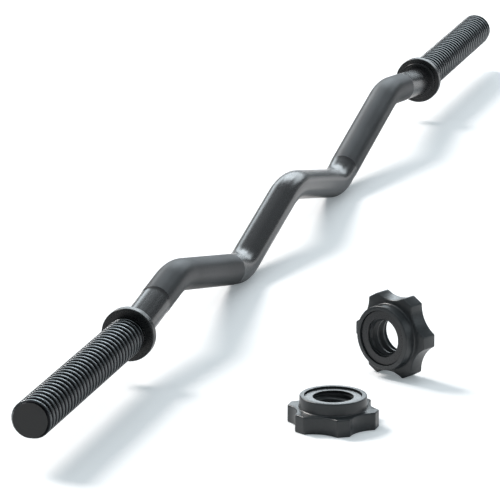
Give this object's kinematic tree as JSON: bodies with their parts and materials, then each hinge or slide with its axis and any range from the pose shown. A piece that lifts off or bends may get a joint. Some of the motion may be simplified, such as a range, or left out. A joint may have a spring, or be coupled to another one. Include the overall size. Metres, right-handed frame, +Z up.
{
  "type": "ez curl bar",
  "caption": "Short W-bent barbell with threaded sleeve ends, stop collars and six-lobed screw-on star nuts lying beside it, for arm curls with weight plates.",
  "frame": {"origin": "on the floor under the middle of the bar, midway between the two low bends that it stands on", "axes": "+X along the bar towards its right end, +Z up, the bends lie in the XZ plane and the nuts lie on the -Y side"},
  "size_m": [1.2, 0.216, 0.057],
  "materials": {
    "shaft_steel": "satin black coated steel, knurled where it is held",
    "sleeve_steel": "satin black coated steel with a coarse rolled thread",
    "collar_steel": "satin black coated steel, turned",
    "pin_steel": "plain steel, hidden",
    "nut_iron": "matte black coated cast iron",
    "ring_rubber": "black rubber"
  },
  "bodies": {
    "bar": {"bent_shaft": "shaft_steel", "left_sleeve": "sleeve_steel", "right_sleeve": "sleeve_steel", "left_collar": "collar_steel", "right_collar": "collar_steel", "left_sleeve_pin": "pin_steel", "right_sleeve_pin": "pin_steel"},
    "left_ring": {"left_rubber_ring": "ring_rubber"},
    "left_nut": {"left_star_nut": "nut_iron"},
    "right_ring": {"right_rubber_ring": "ring_rubber"},
    "right_nut": {"right_star_nut": "nut_iron"}
  },
  "joints": [
    {"name": "left_nut_travel", "type": "slide", "parent": "bar", "child": "left_ring", "axis": [0, 0, 1], "range_m": [0, 0.2]},
    {"name": "left_nut_turn", "type": "hinge", "parent": "left_ring", "child": "left_nut", "pos_m": [-0.4488, -0.1579, 0], "axis": [0, 0, 1], "range_deg": [0, 11520]},
    {"name": "right_nut_travel", "type": "slide", "parent": "bar", "child": "right_ring", "axis": [0.9011, -0.4337, 0], "range_m": [0, 0.2]},
    {"name": "right_nut_turn", "type": "hinge", "parent": "right_ring", "child": "right_nut", "pos_m": [-0.3204, -0.1704, 0.0282], "axis": [0.9011, -0.4337, 0], "range_deg": [0, 11520]}
  ],
  "couplings": [
    {"joint": "left_nut_travel", "follows": "left_nut_turn", "m_per_rad": 0.00099472},
    {"joint": "right_nut_travel", "follows": "right_nut_turn", "m_per_rad": 0.00099472}
  ]
}
